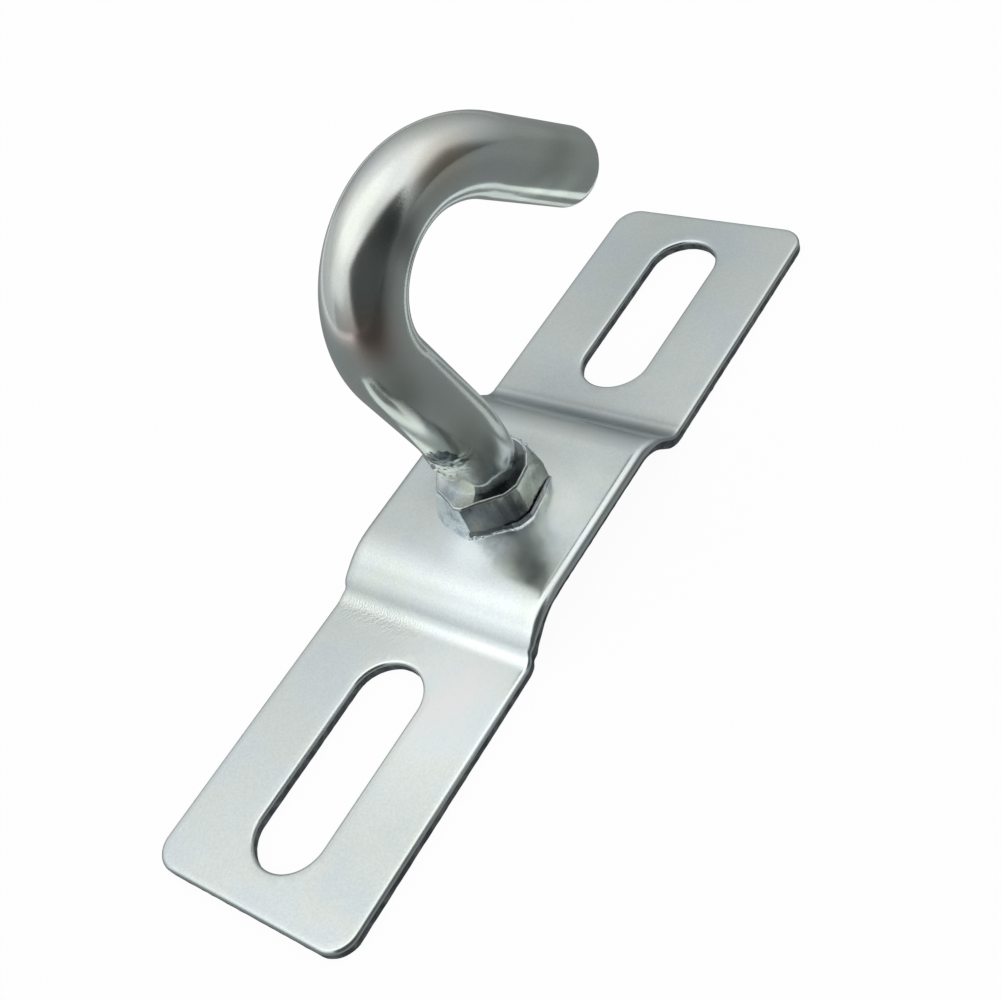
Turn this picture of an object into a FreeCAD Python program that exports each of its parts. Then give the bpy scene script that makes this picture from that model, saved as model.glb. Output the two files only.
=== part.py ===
"""Ceiling hook: a bent round bar on a pressed, slotted mounting plate.

Millimetres. X runs along the plate, Y across it, and +Z points out of the ceiling, towards the hook.
The origin is the middle of the plate, on the plane of the two feet that lie against the ceiling.
"""
import FreeCAD, Part
import math
import os

os.makedirs("parts", exist_ok=True)

# Mounting plate: a strip whose middle stands up between two joggles
PLATE_LENGTH = 120.0
PLATE_WIDTH = 31.3
SHEET = 1.6
RISE = 4.5                # height of the middle's underside above the ceiling
FOOT_INNER_X = 20.2       # where each flat foot starts, from the plate's middle
JOGGLE_ANGLE = 45.0
FOOT_BEND_R = 3.0         # inside radius of the bends at the feet
MIDDLE_BEND_R = 6.0       # inside radius of the bends at the raised middle
CORNER_R = 3.5
EDGE_ROLL_R = 0.5         # the rounded upper rim that the press tool leaves

# Screw slots, one in each foot; a slot takes what the foot's length leaves between its two margins
SLOT_WIDTH = 10.1
SLOT_OUTER_MARGIN = 5.25  # from the slot's round end to the plate's end
SLOT_INNER_MARGIN = 4.55  # from the slot's other end to where the joggle starts

# Bar and its bends, along the centre line
BAR_D = 10.0
HOOK_TURN = 5.0           # the hook's plane, turned off the plate's length
LOWER_BEND_R = 35.0
LOWER_BEND_ANGLE = 15.9
BACK_STRAIGHT = 13.2
MAIN_BEND_R = 13.1
MAIN_BEND_ANGLE = 122.2
NOSE_BEND_R = 20.3
NOSE_BEND_ANGLE = 27.0
TIP_STRAIGHT = 16.1
TIP_CHAMFER = 0.7
SHOULDER_CHAMFER = 0.25

# Threaded end, drawn plain at the thread's pitch diameter
THREAD_D = 8.0
THREAD_PITCH = 1.25
PITCH_D = THREAD_D - 0.6495 * THREAD_PITCH
THREAD_CLEARANCE = 0.05   # on the radius, between the bar's thread and the nut's
THREAD_BELOW = 2.2        # what stands out under the plate's middle
THREAD_CHAMFER = 0.8
HOLE_CLEARANCE = 0.3      # on the radius, between the thread and the plate's hole

# Hexagon nut
NUT_ACROSS_FLATS = 13.0
NUT_HEIGHT = 6.2
NUT_CORNER_AZIMUTH = 8.0  # direction of one corner, from +X
NUT_CHAMFER_ANGLE = 30.0
NUT_CHAMFER_INSET = 0.35  # how far the chamfer's circle lies inside the flats

# Fillet welds on every second flat of the nut
WELD_LEG = 1.9
WELD_OVERRUN = 1.2        # how far each weld runs past the flat's two corners
WELD_TAPER = 1.5          # length of each tapered end
WELD_END_R = 0.8          # what is left of the leg at the very end

UP = FreeCAD.Vector(0, 0, 1)
ORIGIN = FreeCAD.Vector(0, 0, 0)
SEAT_Z = RISE + SHEET             # top of the plate's middle
NUT_TOP_Z = SEAT_Z + NUT_HEIGHT   # where the bar's shoulder sits


def heading_point(start, heading, length):
    """The point that lies length away from start, heading measured from +Z towards +X."""
    angle = math.radians(heading)
    return FreeCAD.Vector(start.x + length * math.sin(angle), 0, start.z + length * math.cos(angle))


def bend(start, heading, radius, turn):
    """An arc that leaves start along heading and turns by turn degrees, positive towards +X."""
    side = math.copysign(90, turn)
    centre = heading_point(start, heading + side, radius)
    middle = heading_point(centre, heading - side + turn / 2, radius)
    end = heading_point(centre, heading - side + turn, radius)
    return Part.Arc(start, middle, end).toShape(), end


def centre_line(start, heading, steps):
    """A wire of straight runs (length, None) and bends (radius, turn), from start."""
    edges = []
    for size, turn in steps:
        if turn is None:
            end = heading_point(start, heading, size)
            edges.append(Part.LineSegment(start, end).toShape())
        else:
            edge, end = bend(start, heading, size, turn)
            edges.append(edge)
            heading += turn
        start = end
    return edges


def strip_side(z, radii):
    """One long side of the strip's section in the XZ plane, from the far left foot to the far right one.

    radii holds the bend radius on this side at the feet and at the raised middle.
    """
    foot_r, middle_r = radii
    bend_depth = (1 - math.cos(math.radians(JOGGLE_ANGLE))) * (foot_r + middle_r)
    slope = (RISE - bend_depth) / math.sin(math.radians(JOGGLE_ANGLE))
    joggle_run = math.sin(math.radians(JOGGLE_ANGLE)) * (foot_r + middle_r)
    joggle_run += slope * math.cos(math.radians(JOGGLE_ANGLE))
    foot = PLATE_LENGTH / 2 - FOOT_INNER_X
    middle = 2 * (FOOT_INNER_X - joggle_run)
    steps = [
        (foot, None), (foot_r, -JOGGLE_ANGLE), (slope, None), (middle_r, JOGGLE_ANGLE),
        (middle, None),
        (middle_r, JOGGLE_ANGLE), (slope, None), (foot_r, -JOGGLE_ANGLE), (foot, None),
    ]
    return centre_line(FreeCAD.Vector(-PLATE_LENGTH / 2, 0, z), 90, steps)


def joggled_strip():
    """The strip with square ends: its section, run across the width."""
    under = strip_side(0, (FOOT_BEND_R + SHEET, MIDDLE_BEND_R))
    upper = strip_side(SHEET, (FOOT_BEND_R, MIDDLE_BEND_R + SHEET))
    near_x = FreeCAD.Vector(-PLATE_LENGTH / 2, 0, 0)
    far_x = FreeCAD.Vector(PLATE_LENGTH / 2, 0, 0)
    ends = [Part.LineSegment(foot, foot + UP * SHEET).toShape() for foot in (near_x, far_x)]
    section = Part.Face(Part.Wire(Part.__sortEdges__(under + upper + ends)))
    section.translate(FreeCAD.Vector(0, -PLATE_WIDTH / 2, 0))
    return section.extrude(FreeCAD.Vector(0, PLATE_WIDTH, 0))


def rounded_bar(length, width, corner_r, height):
    """An upright prism with a rounded-rectangle outline, centred on the Z axis from z = 0."""
    block = Part.makeBox(length, width, height, FreeCAD.Vector(-length / 2, -width / 2, 0))
    uprights = [edge for edge in block.Edges if abs(edge.tangentAt(edge.FirstParameter).z) > 0.99]
    return block.makeFillet(corner_r, uprights)


def slot_prism(side, height):
    """An upright prism with the outline of the slot in the foot on that side, from z = 0."""
    radius = SLOT_WIDTH / 2
    inner = FOOT_INNER_X + SLOT_INNER_MARGIN + radius
    outer = PLATE_LENGTH / 2 - SLOT_OUTER_MARGIN - radius
    low = min(side * inner, side * outer)
    prism = Part.makeBox(outer - inner, SLOT_WIDTH, height, FreeCAD.Vector(low, -radius, 0))
    for reach in (inner, outer):
        prism = prism.fuse(Part.makeCylinder(radius, height, FreeCAD.Vector(side * reach, 0, 0)))
    return prism.removeSplitter()


def is_wall(face):
    """True for an upright wall of the plate."""
    u_low, u_high, v_low, v_high = face.ParameterRange
    return abs(face.normalAt((u_low + u_high) / 2, (v_low + v_high) / 2).z) < 1e-4


def upper_rim(plate):
    """The edges where the plate's upper skin meets an upright wall."""
    rim = []
    for edge in plate.Edges:
        faces = plate.ancestorsOfType(edge, Part.Face)
        walls = [face for face in faces if is_wall(face)]
        skins = [face for face in faces if not is_wall(face)]
        if len(walls) != 1 or len(skins) != 1:
            continue
        middle = edge.valueAt((edge.FirstParameter + edge.LastParameter) / 2)
        u, v = skins[0].Surface.parameter(middle)
        if skins[0].normalAt(u, v).z > 0:
            rim.append(edge)
    return rim


def mounting_plate():
    height = SEAT_Z + SHEET
    plate = joggled_strip().common(rounded_bar(PLATE_LENGTH, PLATE_WIDTH, CORNER_R, height))
    for side in (-1, 1):
        plate = plate.cut(slot_prism(side, height))
    plate = plate.makeFillet(EDGE_ROLL_R, upper_rim(plate))
    hole = Part.makeCylinder(PITCH_D / 2 + HOLE_CLEARANCE, height)
    return plate.cut(hole)


def hook():
    """The bar: threaded end, shoulder on the nut, two opposed bends and the straight tip."""
    steps = [
        (LOWER_BEND_R, -LOWER_BEND_ANGLE),
        (BACK_STRAIGHT, None),
        (MAIN_BEND_R, MAIN_BEND_ANGLE),
        (NOSE_BEND_R, NOSE_BEND_ANGLE),
        (TIP_STRAIGHT, None),
    ]
    path = Part.Wire(centre_line(FreeCAD.Vector(0, 0, NUT_TOP_Z), 0, steps))
    circle = Part.makeCircle(BAR_D / 2, FreeCAD.Vector(0, 0, NUT_TOP_Z), UP)
    bar = path.makePipeShell([Part.Wire(circle)], True, False)
    rims = sorted((edge for edge in bar.Edges if edge.isClosed()), key=lambda edge: edge.CenterOfMass.z)
    shoulder = min(rims, key=lambda edge: edge.CenterOfMass.z)
    tip = max(rims, key=lambda edge: edge.CenterOfMass.x)
    bar = bar.makeChamfer(SHOULDER_CHAMFER, [shoulder])
    tip = [edge for edge in bar.Edges if edge.CenterOfMass.isEqual(tip.CenterOfMass, 1e-6)]
    bar = bar.makeChamfer(TIP_CHAMFER, tip)
    thread_low = RISE - THREAD_BELOW
    stud = Part.makeCylinder(PITCH_D / 2, NUT_TOP_Z - thread_low, FreeCAD.Vector(0, 0, thread_low))
    stud_rim = [edge for edge in stud.Edges if edge.isClosed() and edge.CenterOfMass.z < thread_low + 1e-6]
    stud = stud.makeChamfer(THREAD_CHAMFER, stud_rim)
    bar = bar.fuse(stud)
    bar.rotate(ORIGIN, UP, -HOOK_TURN)
    return bar


def nut_body():
    """The nut without its bore: a hexagonal prism inside two blunt cones."""
    corner_r = NUT_ACROSS_FLATS / math.sqrt(3)
    azimuths = [math.radians(NUT_CORNER_AZIMUTH + 60 * step) for step in range(7)]
    corners = [FreeCAD.Vector(corner_r * math.cos(a), corner_r * math.sin(a), SEAT_Z) for a in azimuths]
    prism = Part.Face(Part.makePolygon(corners)).extrude(UP * NUT_HEIGHT)
    face_r = NUT_ACROSS_FLATS / 2 - NUT_CHAMFER_INSET
    slope = math.tan(math.radians(NUT_CHAMFER_ANGLE))
    reach = corner_r + 1.0
    drop = (reach - face_r) * slope
    profile = [
        FreeCAD.Vector(0, 0, SEAT_Z), FreeCAD.Vector(face_r, 0, SEAT_Z),
        FreeCAD.Vector(reach, 0, SEAT_Z + drop), FreeCAD.Vector(reach, 0, NUT_TOP_Z - drop),
        FreeCAD.Vector(face_r, 0, NUT_TOP_Z), FreeCAD.Vector(0, 0, NUT_TOP_Z),
        FreeCAD.Vector(0, 0, SEAT_Z),
    ]
    cones = Part.Face(Part.makePolygon(profile)).revolve(ORIGIN, UP, 360)
    return prism.common(cones)


def hex_nut():
    bore = Part.makeCylinder(PITCH_D / 2 + THREAD_CLEARANCE, NUT_HEIGHT, FreeCAD.Vector(0, 0, SEAT_Z))
    return nut_body().cut(bore)


def weld_beads():
    """Three fillet welds in the corner between the nut's flats and the plate, each a bar with tapered ends."""
    half_length = NUT_ACROSS_FLATS / math.sqrt(3) / 2 + WELD_OVERRUN - WELD_TAPER
    foot = FreeCAD.Vector(NUT_ACROSS_FLATS / 2, -half_length, SEAT_Z)
    far = FreeCAD.Vector(NUT_ACROSS_FLATS / 2, half_length, SEAT_Z)
    along = FreeCAD.Vector(0, 1, 0)
    bar = Part.makeCylinder(WELD_LEG, 2 * half_length, foot, along)
    bar = bar.fuse([
        Part.makeCone(WELD_LEG, WELD_END_R, WELD_TAPER, foot, -along),
        Part.makeCone(WELD_LEG, WELD_END_R, WELD_TAPER, far, along),
    ]).removeSplitter()
    plate_side = Part.makeCylinder(NUT_ACROSS_FLATS, WELD_LEG, FreeCAD.Vector(0, 0, SEAT_Z - WELD_LEG))
    bar = bar.cut(plate_side)
    beads = []
    for step in range(3):
        bead = bar.copy()
        bead.rotate(ORIGIN, UP, NUT_CORNER_AZIMUTH + 30 + 120 * step)
        beads.append(bead.cut(nut_body()))
    return Part.makeCompound(beads)


for node, shape in (
    ("mounting_plate", mounting_plate()),
    ("hook", hook()),
    ("hex_nut", hex_nut()),
    ("weld_beads", weld_beads()),
):
    print(node, "valid", shape.isValid(), "solids", len(shape.Solids), "volume", round(shape.Volume, 2),
          "faces", len(shape.Faces))
    shape.exportStep("parts/" + node + ".step")
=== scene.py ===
"""Looks of the ceiling hook: bright zinc on a pressed plate, a bent bar, a nut and its welds.

Lengths of the part are in millimetres and become metres as each mesh is made. The studio is in metres.
"""

import math

import bpy
import numpy as np
from mathutils import Matrix, Vector, noise
from mathutils.geometry import delaunay_2d_cdt


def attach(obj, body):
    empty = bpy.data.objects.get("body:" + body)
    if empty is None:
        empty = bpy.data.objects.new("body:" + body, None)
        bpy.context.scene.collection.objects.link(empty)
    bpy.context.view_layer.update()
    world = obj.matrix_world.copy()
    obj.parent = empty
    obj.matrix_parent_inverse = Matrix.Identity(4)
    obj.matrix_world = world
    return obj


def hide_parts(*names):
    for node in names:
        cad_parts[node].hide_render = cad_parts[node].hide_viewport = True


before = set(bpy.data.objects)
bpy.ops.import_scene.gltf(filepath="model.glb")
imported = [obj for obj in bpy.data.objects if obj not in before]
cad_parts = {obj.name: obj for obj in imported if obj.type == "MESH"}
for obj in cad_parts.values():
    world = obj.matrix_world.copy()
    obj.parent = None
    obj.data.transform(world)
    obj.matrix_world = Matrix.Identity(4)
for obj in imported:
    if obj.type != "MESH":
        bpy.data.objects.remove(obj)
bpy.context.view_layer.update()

MM = 0.001

# Sizes shared with the solids, the hole's to a tenth
PLATE_LENGTH = 120.0
PLATE_WIDTH = 31.3
SHEET = 1.6
RISE = 4.5
FOOT_INNER_X = 20.2
FOOT_BEND_R = 3.0
MIDDLE_BEND_R = 6.0
CORNER_R = 3.5
SLOT_R = 5.05
SLOT_INNER_X = 29.8
SLOT_OUTER_X = 49.7
HOLE_R = 3.9
SEAT_Z = RISE + SHEET
NUT_HEIGHT = 6.2
NUT_TOP_Z = SEAT_Z + NUT_HEIGHT
NUT_HALF = 6.5
NUT_CORNER_AZIMUTH = 8.0
BORE_R = 3.644
BAR_R = 5.0
HOOK_TURN = 5.0
THREAD_D = 8.0
THREAD_PITCH = 1.25
THREAD_BELOW = 2.2
# The bar's path from the nut: radius and turn in degrees of each bend, length alone of each straight. The
# last straight is 0.3 longer than the solid's, for the tip's worn edge.
BAR_PATH = ((35.0, -15.9), (13.2, None), (13.1, 122.2), (20.3, 27.0), (16.4, None))


def wobble(x, y, z, size, seed=0.0):
    """Smooth noise between about -1 and 1, with lumps of that size."""
    return noise.noise(Vector((x / size + seed, y / size - 2.0 * seed, z / size + 0.7 * seed)))


def smoothstep(low, high, value):
    """0 up to low and 1 from high on, with a soft rise between them."""
    share = np.clip((np.asarray(value, float) - low) / (high - low), 0.0, 1.0)
    return share * share * (3.0 - 2.0 * share)


def bell(value, middle, width):
    """1 at the middle, falling to about a third at that distance from it and soon to 0."""
    return np.exp(-((value - middle) / width) ** 2)


def new_object(name, data):
    """An object that is in the scene."""
    made = bpy.data.objects.new(name, data)
    bpy.context.scene.collection.objects.link(made)
    return made


def make_piece(name, points, faces, node, materials, kinds, sharp=38.0):
    """A mesh piece that stands for a CAD node; kinds has the number of each face's material."""
    mesh = bpy.data.meshes.new(name)
    mesh.from_pydata([tuple(p) for p in np.asarray(points, float) * MM], [], [tuple(f) for f in faces])
    for material in materials:
        mesh.materials.append(material)
    mesh.polygons.foreach_set("material_index", np.asarray(kinds, np.int32))
    mesh.validate()
    mesh.shade_smooth()
    mesh.set_sharp_from_angle(angle=math.radians(sharp))
    mesh.update()
    piece = new_object(name, mesh)
    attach(piece, "root")
    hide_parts(node)


def strips(rings, closed_sweep=False):
    """Quads between closed rings of vertex numbers; each ring has the same count."""
    faces = []
    count = len(rings)
    for row in range(count if closed_sweep else count - 1):
        low, high = rings[row], rings[(row + 1) % count]
        for step in range(len(low)):
            after = (step + 1) % len(low)
            faces.append((low[step], low[after], high[after], high[step]))
    return faces


# Materials

# Most of a noise texture's values lie between these
NOISE_LOW, NOISE_HIGH = 0.3, 0.7
# Lumps to a millimetre of the gloss, the pebbles and the blots of the chalky deposit
GLOSS_PER_MM = 0.35
PEBBLES_PER_MM = 3.4
BLOTS_PER_MM = 0.45
# Depths of the fine grain and of the pebbles, in metres
GRAIN_DEPTH = 0.00002
PEBBLE_DEPTH = 0.0001
# A wide reach, along which a stain fades only gently
WIDE = 30.0


def node_of(tree, kind, **values):
    """A new shader node with these settings."""
    made = tree.nodes.new(kind)
    for key, value in values.items():
        setattr(made, key, value)
    return made


def product(tree, first, second):
    """The first value times the second."""
    made = node_of(tree, "ShaderNodeMath", operation="MULTIPLY")
    tree.links.new(first, made.inputs[0])
    tree.links.new(second, made.inputs[1])
    return made.outputs[0]


def mm_coordinates(tree):
    """Object coordinates in millimetres."""
    where = node_of(tree, "ShaderNodeTexCoord")
    scale = node_of(tree, "ShaderNodeMapping")
    scale.inputs["Scale"].default_value = (1.0 / MM, 1.0 / MM, 1.0 / MM)
    tree.links.new(where.outputs["Object"], scale.inputs["Vector"])
    return scale.outputs["Vector"]


def noise_tex(tree, vector, per_mm, detail, rough=0.5):
    """A noise texture with about that many lumps to a millimetre."""
    made = node_of(tree, "ShaderNodeTexNoise")
    made.inputs["Scale"].default_value = per_mm
    made.inputs["Detail"].default_value = detail
    made.inputs["Roughness"].default_value = rough
    tree.links.new(vector, made.inputs["Vector"])
    return made.outputs["Fac"]


def ramp(tree, source, stops, colours):
    """A value turned into a colour that runs from stop to stop."""
    made = node_of(tree, "ShaderNodeValToRGB")
    elements = made.color_ramp.elements
    while len(elements) < len(stops):
        elements.new(0.5)
    for element, stop, colour in zip(elements, stops, colours):
        element.position = stop
        element.color = (*colour, 1.0)
    tree.links.new(source, made.inputs["Fac"])
    return made.outputs["Color"]


def spread(tree, source, low, high):
    """A noise texture's value spread over low to high."""
    made = node_of(tree, "ShaderNodeMapRange")
    made.inputs["From Min"].default_value = NOISE_LOW
    made.inputs["From Max"].default_value = NOISE_HIGH
    made.inputs["To Min"].default_value = low
    made.inputs["To Max"].default_value = high
    tree.links.new(source, made.inputs["Value"])
    return made.outputs["Result"]


def around_place(tree, vector, centre, reach):
    """1 at a place, in millimetres, fading out to 0 at that distance along each axis."""
    where = node_of(tree, "ShaderNodeMapping")
    where.inputs["Location"].default_value = tuple(-c / r for c, r in zip(centre, reach))
    where.inputs["Scale"].default_value = tuple(1.0 / r for r in reach)
    tree.links.new(vector, where.inputs["Vector"])
    length = node_of(tree, "ShaderNodeVectorMath", operation="LENGTH")
    tree.links.new(where.outputs["Vector"], length.inputs[0])
    fade = node_of(tree, "ShaderNodeMapRange", interpolation_type="SMOOTHSTEP")
    fade.inputs["From Min"].default_value = 1.0
    fade.inputs["From Max"].default_value = 0.0
    tree.links.new(length.outputs["Value"], fade.inputs["Value"])
    return fade.outputs["Result"]


def shaded(tree, colour, share, tint):
    """The colour multiplied by a tint, as strongly as the share says."""
    mix = node_of(tree, "ShaderNodeMix", data_type="RGBA", blend_type="MULTIPLY")
    tree.links.new(share, mix.inputs["Factor"])
    tree.links.new(colour, mix.inputs[6])
    mix.inputs[7].default_value = (*tint, 1.0)
    return mix.outputs[2]


def specked(tree, colour, fine, amount):
    """The colour made darker and lighter by a fine noise."""
    made = node_of(tree, "ShaderNodeVectorMath", operation="SCALE")
    tree.links.new(colour, made.inputs[0])
    tree.links.new(spread(tree, fine, 1.0 - 0.9 * amount, 1.0 + 1.1 * amount), made.inputs["Scale"])
    return made.outputs["Vector"]


def bumped(tree, height, strength, depth, below=None):
    """A normal bent by that height, on top of the bump below it where there is one."""
    made = node_of(tree, "ShaderNodeBump")
    made.inputs["Strength"].default_value = strength
    made.inputs["Distance"].default_value = depth
    tree.links.new(height, made.inputs["Height"])
    if below is not None:
        tree.links.new(below, made.inputs["Normal"])
    return made.outputs["Normal"]


def chalky(tree, vector, centre, reach, most):
    """How metallic the surface is: less at a place where a blotched matt deposit hides the zinc."""
    blots = spread(tree, noise_tex(tree, vector, BLOTS_PER_MM, 3.0), 0.45, 1.0)
    made = node_of(tree, "ShaderNodeMath", operation="MULTIPLY_ADD")
    tree.links.new(product(tree, around_place(tree, vector, centre, reach), blots), made.inputs[0])
    made.inputs[1].default_value = -most
    made.inputs[2].default_value = 1.0
    return made.outputs[0]


def zinc(name, tints, rough, grain, grain_size=0.3, stops=(0.30, 0.50, 0.70), patch=0.09, places=(),
         peel=None, chalk=None, speck=0.12):
    """Bright zinc: faint tints over the metal, a varying gloss and a fine grain.

    Each of places is a patch of painted light or shade, or of a pale deposit: its centre, its reach along the
    axes
    and its tint. peel is a pebbled spot: centre, reach and strength. chalk is a matt pale deposit: centre,
    reach and how much metal it hides.
    """
    material = bpy.data.materials.new(name)
    material.use_nodes = True
    tree = material.node_tree
    shader = tree.nodes["Principled BSDF"]
    vector = mm_coordinates(tree)
    colour = ramp(tree, noise_tex(tree, vector, patch, 2.0), stops, tints)
    for centre, reach, tint in places:
        colour = shaded(tree, colour, around_place(tree, vector, centre, reach), tint)
    fine = noise_tex(tree, vector, 1.0 / grain_size, 2.0, 0.6)
    tree.links.new(specked(tree, colour, fine, speck), shader.inputs["Base Color"])
    gloss = noise_tex(tree, vector, GLOSS_PER_MM, 3.0)
    tree.links.new(spread(tree, gloss, *rough), shader.inputs["Roughness"])
    shader.inputs["Metallic"].default_value = 1.0
    if chalk is not None:
        tree.links.new(chalky(tree, vector, *chalk), shader.inputs["Metallic"])
    normal = bumped(tree, fine, grain, GRAIN_DEPTH)
    if peel is not None:
        centre, reach, strength = peel
        pebbles = noise_tex(tree, vector, PEBBLES_PER_MM, 1.0)
        height = product(tree, around_place(tree, vector, centre, reach), pebbles)
        normal = bumped(tree, height, strength, PEBBLE_DEPTH, normal)
    tree.links.new(normal, shader.inputs["Normal"])
    return material


# Painted light and shade on the plate and on the bar, and a pale deposit on the plate: centre, reach along
# the axes and tint
# On the plate: painted highlights on the near foot and the middle's near edge, painted shade on the far
# joggle and the far foot, and last a lighter patch where the chalky deposit lies by the nut
PLATE_PAINTED_LIGHT_AND_DEPOSIT = (
    ((-27.0, -9.0, 2.0), (22.0, 18.0, WIDE), (1.26, 1.25, 1.25)),
    ((0.0, -12.0, 6.0), (14.0, 9.0, WIDE), (1.16, 1.16, 1.16)),
    ((22.0, 4.0, 3.0), (9.0, 22.0, WIDE), (0.84, 0.84, 0.85)),
    ((18.3, -2.0, 4.0), (4.5, WIDE, WIDE), (0.66, 0.67, 0.69)),
    ((18.3, -12.0, 4.0), (5.0, 9.0, WIDE), (0.82, 0.83, 0.83)),
    ((48.0, 2.0, 2.0), (24.0, 18.0, WIDE), (0.88, 0.89, 0.89)),
    ((-9.0, -2.4, 6.4), (4.6, 6.0, 4.0), (1.22, 1.24, 1.24)),
)
# On the bar: painted shade where its reflections are darker, down the shank, at its foot and over the arch,
# painted highlights on the tip's band, painted shade over the tip's end, and warm brown painted into the
# arch's reflections
BAR_PAINTED_LIGHT = (
    ((10.4, -5.5, 52.6), (7.0, 4.5, 4.5), (1.04, 0.92, 0.82)),
    ((-8.1, -3.2, 43.4), (4.5, 4.5, 6.0), (1.15, 0.86, 0.78)),
    ((0.6, -4.6, 51.8), (5.2, 4.0, 4.6), (0.48, 0.50, 0.50)),
    ((1.2, -4.5, 46.9), (3.1, 4.0, 5.5), (0.54, 0.55, 0.56)),
    ((-8.4, -3.1, 33.9), (4.0, 4.0, 6.5), (0.62, 0.64, 0.63)),
    ((-4.0, -3.9, 20.6), (5.0, 5.0, 7.0), (0.62, 0.65, 0.63)),
    ((-5.1, -1.0, 15.0), (4.5, 4.0, 4.5), (0.60, 0.59, 0.55)),
    ((0.9, -4.9, 12.6), (9.0, 6.0, 3.2), (0.24, 0.25, 0.25)),
    ((-1.3, -4.9, 17.0), (3.0, 2.6, 5.5), (0.50, 0.52, 0.51)),
    ((-4.9, -1.0, 20.3), (4.0, 3.2, 2.8), (0.40, 0.42, 0.42)),
    ((20.8, -6.0, 39.8), (4.5, 4.0, 2.2), (1.22, 1.24, 1.20)),
    ((25.2, -6.7, 37.2), (4.5, 4.0, 2.2), (1.22, 1.24, 1.20)),
    ((26.0, -7.2, 41.8), (8.0, 5.0, 3.6), (0.78, 0.80, 0.78)),
    ((3.8, -3.3, 16.5), (2.6, 2.6, 5.0), (0.70, 0.72, 0.65)),
)
PLATE_ZINC = zinc(
    "plate_zinc",
    ((0.75, 0.82, 0.85), (0.78, 0.84, 0.84), (0.79, 0.84, 0.81), (0.74, 0.81, 0.82)),
    (0.18, 0.26), 0.15, stops=(0.30, 0.45, 0.56, 0.70), places=PLATE_PAINTED_LIGHT_AND_DEPOSIT, speck=0.045,
    peel=((-20.0, 9.0, 2.5), (2.8, 13.0, 6.0), 0.9),
    chalk=((-8.8, -3.2, 6.4), (4.6, 6.2, 4.0), 1.0))
EDGE_ZINC = zinc(
    "edge_zinc",
    ((0.12, 0.13, 0.15), (0.22, 0.23, 0.25), (0.38, 0.39, 0.40)),
    (0.35, 0.55), 1.0, patch=0.8)
BAR_ZINC = zinc(
    "bar_zinc",
    ((0.73, 0.78, 0.79), (0.77, 0.80, 0.77), (0.74, 0.77, 0.72)),
    (0.12, 0.18), 0.15, 0.25, places=BAR_PAINTED_LIGHT, speck=0.04)
# Bright zinc of the nut; its one place is painted shade on the left of its top face
NUT_ZINC = zinc(
    "nut_zinc",
    ((0.70, 0.76, 0.80), (0.78, 0.82, 0.83), (0.72, 0.76, 0.74)),
    (0.14, 0.24), 0.3, 0.35, patch=0.25,
    places=(((-5.6, 1.6, 12.3), (2.6, 4.0, 2.0), (0.70, 0.75, 0.80)),))
# Rougher zinc darkened with painted shade, on the nut's front flats, the far side of its top face and the
# near weld's upper part
SHADE_PAINTED_ZINC = zinc(
    "shade_painted_zinc",
    ((0.15, 0.16, 0.19), (0.24, 0.26, 0.28), (0.40, 0.42, 0.38)),
    (0.24, 0.40), 0.9, patch=0.16)
PALE_FLAT_ZINC = zinc(
    "pale_flat_zinc",
    ((0.52, 0.60, 0.64), (0.78, 0.86, 0.90), (0.92, 0.98, 1.0)),
    (0.22, 0.38), 0.9, patch=0.3, chalk=((-7.0, -1.5, 9.0), (7.0, 9.0, 9.0), 0.42))
# The nut's right flats: an olive tint darkened with painted shade, and its two places darker painted shade
# still
OLIVE_ZINC = zinc(
    "olive_zinc",
    ((0.28, 0.30, 0.29), (0.46, 0.50, 0.46), (0.66, 0.70, 0.64)),
    (0.22, 0.38), 0.9, patch=0.35,
    places=(((4.8, -5.4, 8.5), (3.2, 3.2, 4.2), (0.40, 0.42, 0.40)),
            ((-1.0, -6.6, 8.0), (3.0, 3.0, 4.2), (0.60, 0.60, 0.60))))
# Zinc darkened most with painted shade, on the top face's near side by the bar's foot and on the nut's foot
# in front
DEEP_SHADE_ZINC = zinc(
    "deep_shade_zinc",
    ((0.10, 0.11, 0.12), (0.17, 0.19, 0.19), (0.26, 0.28, 0.27)),
    (0.22, 0.38), 0.9, patch=0.5)
SCAR_ZINC = zinc(
    "scar_zinc",
    ((0.04, 0.06, 0.07), (0.12, 0.15, 0.16), (0.42, 0.45, 0.44)),
    (0.12, 0.30), 0.8, 0.4, patch=0.7)
WELD_ZINC = zinc(
    "weld_zinc",
    ((0.52, 0.58, 0.60), (0.78, 0.84, 0.86), (0.95, 0.98, 0.98)),
    (0.16, 0.34), 0.6, patch=0.5)


# Mounting plate

# The near joggle's upper bend runs out softly: steps of its average to either side, with their weights
EASING = ((0.4, 0.25), (1.2, 0.32), (2.0, 0.25), (2.8, 0.18))
# Where the softening fades out: over these distances towards the near foot, and over these x at the nut
EASED_NEAR = (15.6, 18.2)
EASED_MIDDLE = (-4.0, 4.0)
# A raised line at the foot of the far joggle
CREASE_OFFSET = 0.2
CREASE_HEIGHT = 0.05
CREASE_WIDTH = 0.32
# The swell round the nut: where it starts and where it is full, from the axis, how fast it falls off
# outside that, and its height
DOME_START = 4.5
DOME_R = 6.7
DOME_RUN = 2.8
DOME_HEIGHT = 0.34
# The plate is narrower past the near joggle, and has a small nick in each side there
NARROWING = 0.16
NARROWING_X = (-20.0, -17.5)
NICK_X = -17.9
NICK_DEPTH = 0.28
NICK_WIDTH = 0.45
# Roll of the upper rim: at the outline, at the slots, and what the raised middle's sides have more
RIM_R = 0.55
SLOT_RIM_R = 0.5
MIDDLE_RIM_EXTRA = 0.55
MIDDLE_RIM_X = (13.0, 19.0)
ROLL_DEGREES = (0, 18, 36, 54, 72, 90)
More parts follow.
